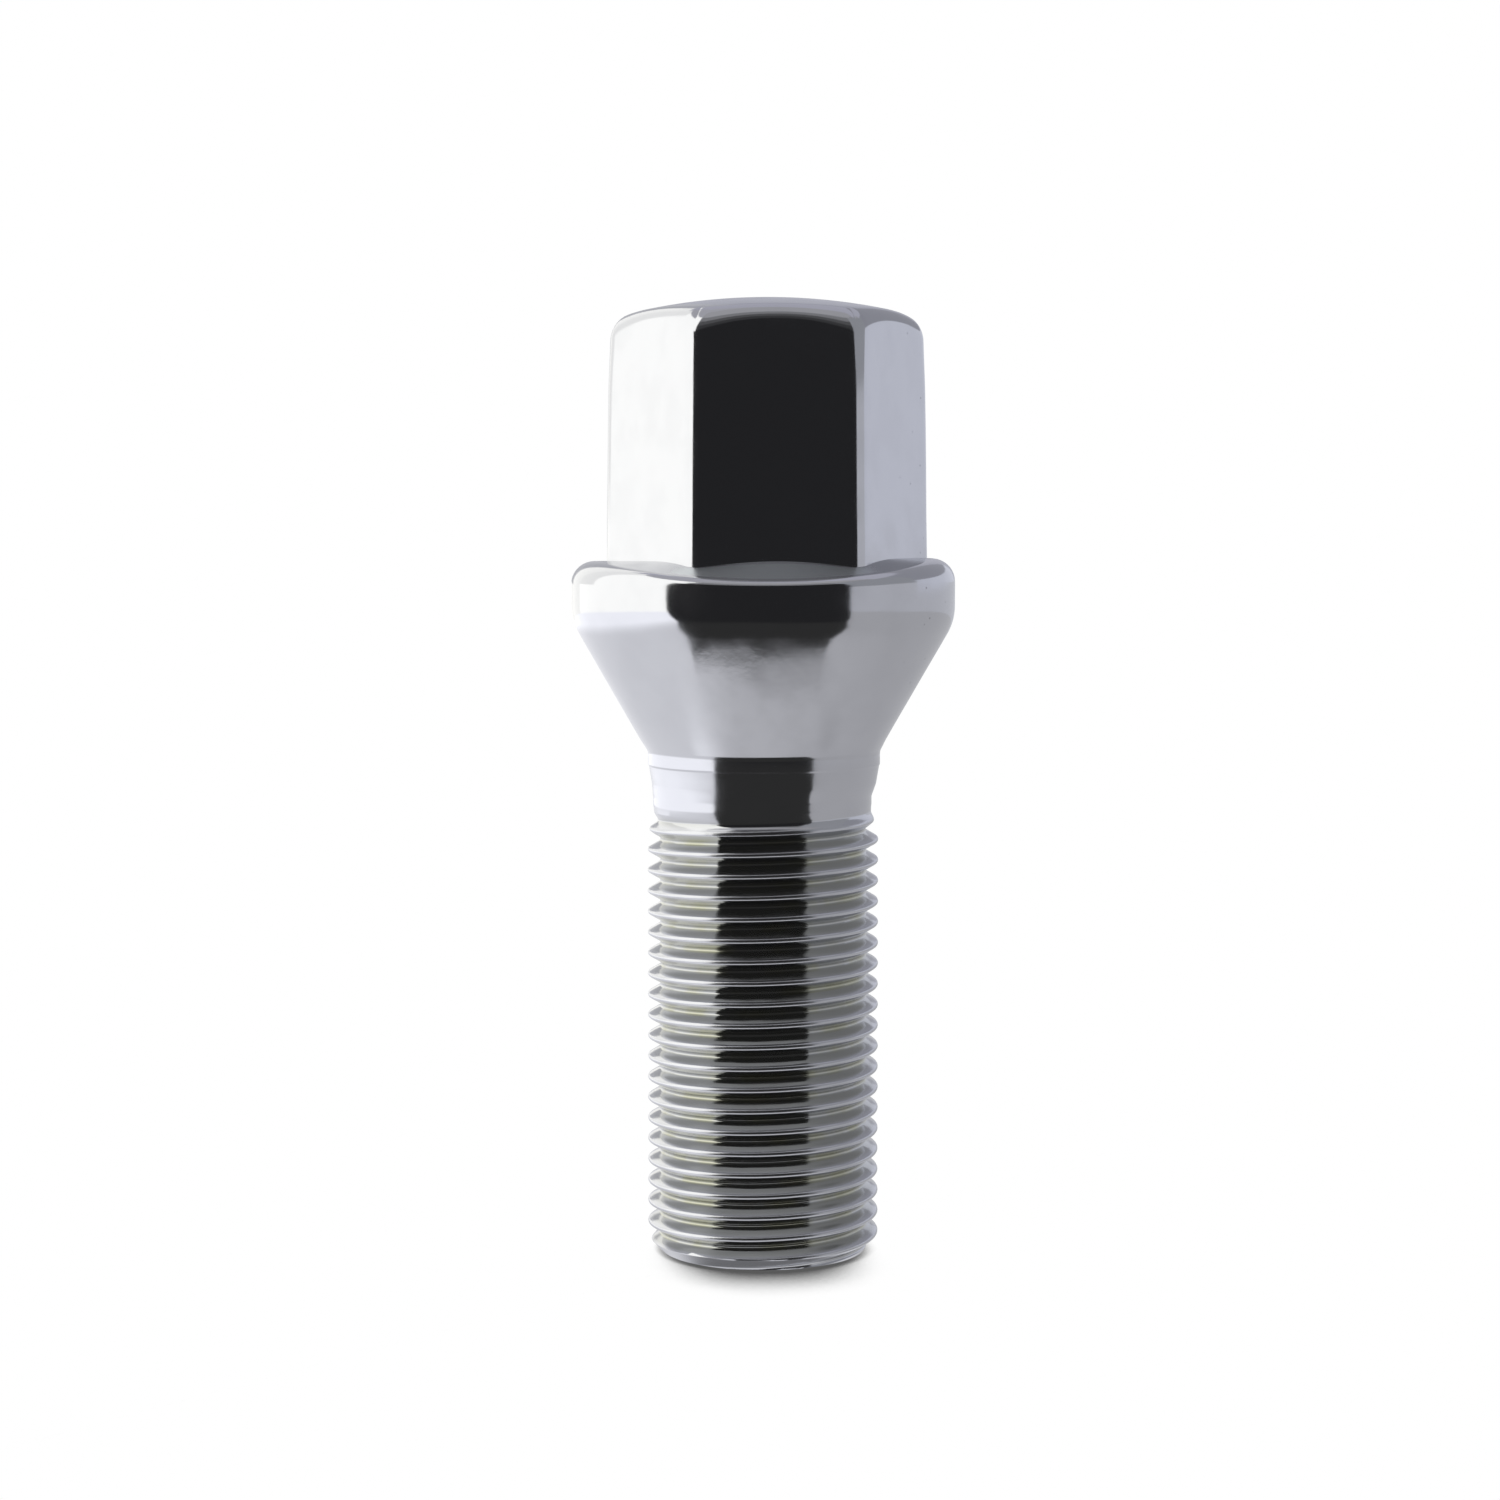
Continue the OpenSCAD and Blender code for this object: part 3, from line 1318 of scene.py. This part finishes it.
        # Painted light and shade: the floor's glow is the product of these bands and patches
        parts = [
            ranged(tree, across, (start * MM, end * MM), (light, end_light))
            for start, end, light, end_light in self.painted_floor_bands
        ]
        for x, y, start, end, light, end_light in self.painted_floor_patches:
            out = self.away(tree, place, (x, y, -self.floor_drop))
            parts.append(ranged(tree, out, (start * MM, end * MM), (light, end_light)))
        total = parts[0]
        for part in parts[1:]:
            total = times(tree, total, part)
        white = nodes.new("ShaderNodeEmission")
        white.inputs["Color"].default_value = (*self.floor_tint, 1)
        links.new(total, white.inputs["Strength"])
        links.new(white.outputs["Emission"], nodes["Material Output"].inputs["Surface"])
        return made

    def sheet(self, z: float) -> list[tuple[float, float, float]]:
        """Gives the corners of a large level sheet at a height."""
        half = self.table_half * MM
        return [(-half, -half, z * MM), (half, -half, z * MM), (half, half, z * MM), (-half, half, z * MM)]

    def table(self) -> bpy.types.Object:
        """Lays the white table under the bolt, which the plating doesn't show.

        Returns:
            The table.
        """
        mesh = bpy.data.meshes.new("table")
        mesh.from_pydata(self.sheet(0), [], [(0, 1, 2, 3)])
        mesh.materials.append(self.table_material())
        made = bpy.data.objects.new("table", mesh)
        bpy.context.scene.collection.objects.link(made)
        made.visible_glossy = False
        LOG.info("stage: table")
        return made

    def build(self) -> None:
        """Sets up the surroundings, the table and every card."""
        self.world()
        self.table()
        stage_piece("floor_card", self.sheet(-self.floor_drop), [(0, 1, 2, 3)], self.floor_material())
        for card in self.cards():
            card.build()
        DarkCard().build()


@dataclass
class Viewpoint:
    """Camera a little above the middle of the bolt, looking slightly down at it."""

    distance: float = 177.95
    height: float = 42.71
    turn: float = 3.3
    aim_z: float = 34.61
    aside: float = 0.78
    lens: float = 71.13
    sensor: float = 36.0
    rise: float = -0.05
    nearest: float = 0.01

    def build(self) -> bpy.types.Object:
        """Makes the camera and hands it to the scene.

        Returns:
            The camera.
        """
        turn = math.radians(self.turn)
        ahead = Vector((math.sin(turn), math.cos(turn), 0))
        right = Vector((math.cos(turn), -math.sin(turn), 0))
        spot = (-self.distance * ahead - self.aside * right + Vector((0, 0, self.height))) * MM
        target = (-self.aside * right + Vector((0, 0, self.aim_z))) * MM
        data = bpy.data.cameras.new("camera")
        data.lens = self.lens
        data.sensor_width = self.sensor
        data.shift_y = self.rise
        data.clip_start = self.nearest
        camera = bpy.data.objects.new("camera", data)
        bpy.context.scene.collection.objects.link(camera)
        camera.location = spot
        camera.rotation_mode = "QUATERNION"
        camera.rotation_quaternion = (target - spot).to_track_quat("-Z", "Y")
        bpy.context.scene.camera = camera
        LOG.info("camera: %.0f mm away, %.1f mm up", self.distance, self.height)
        return camera


def main() -> None:
    """Builds the camera, the studio and the bolt."""
    logging.basicConfig(level=logging.INFO, format="%(message)s")
    bpy.context.scene.view_settings.view_transform = "Standard"
    Viewpoint().build()
    Studio().build()
    WheelBolt().build()


if __name__ == "__main__":
    main()
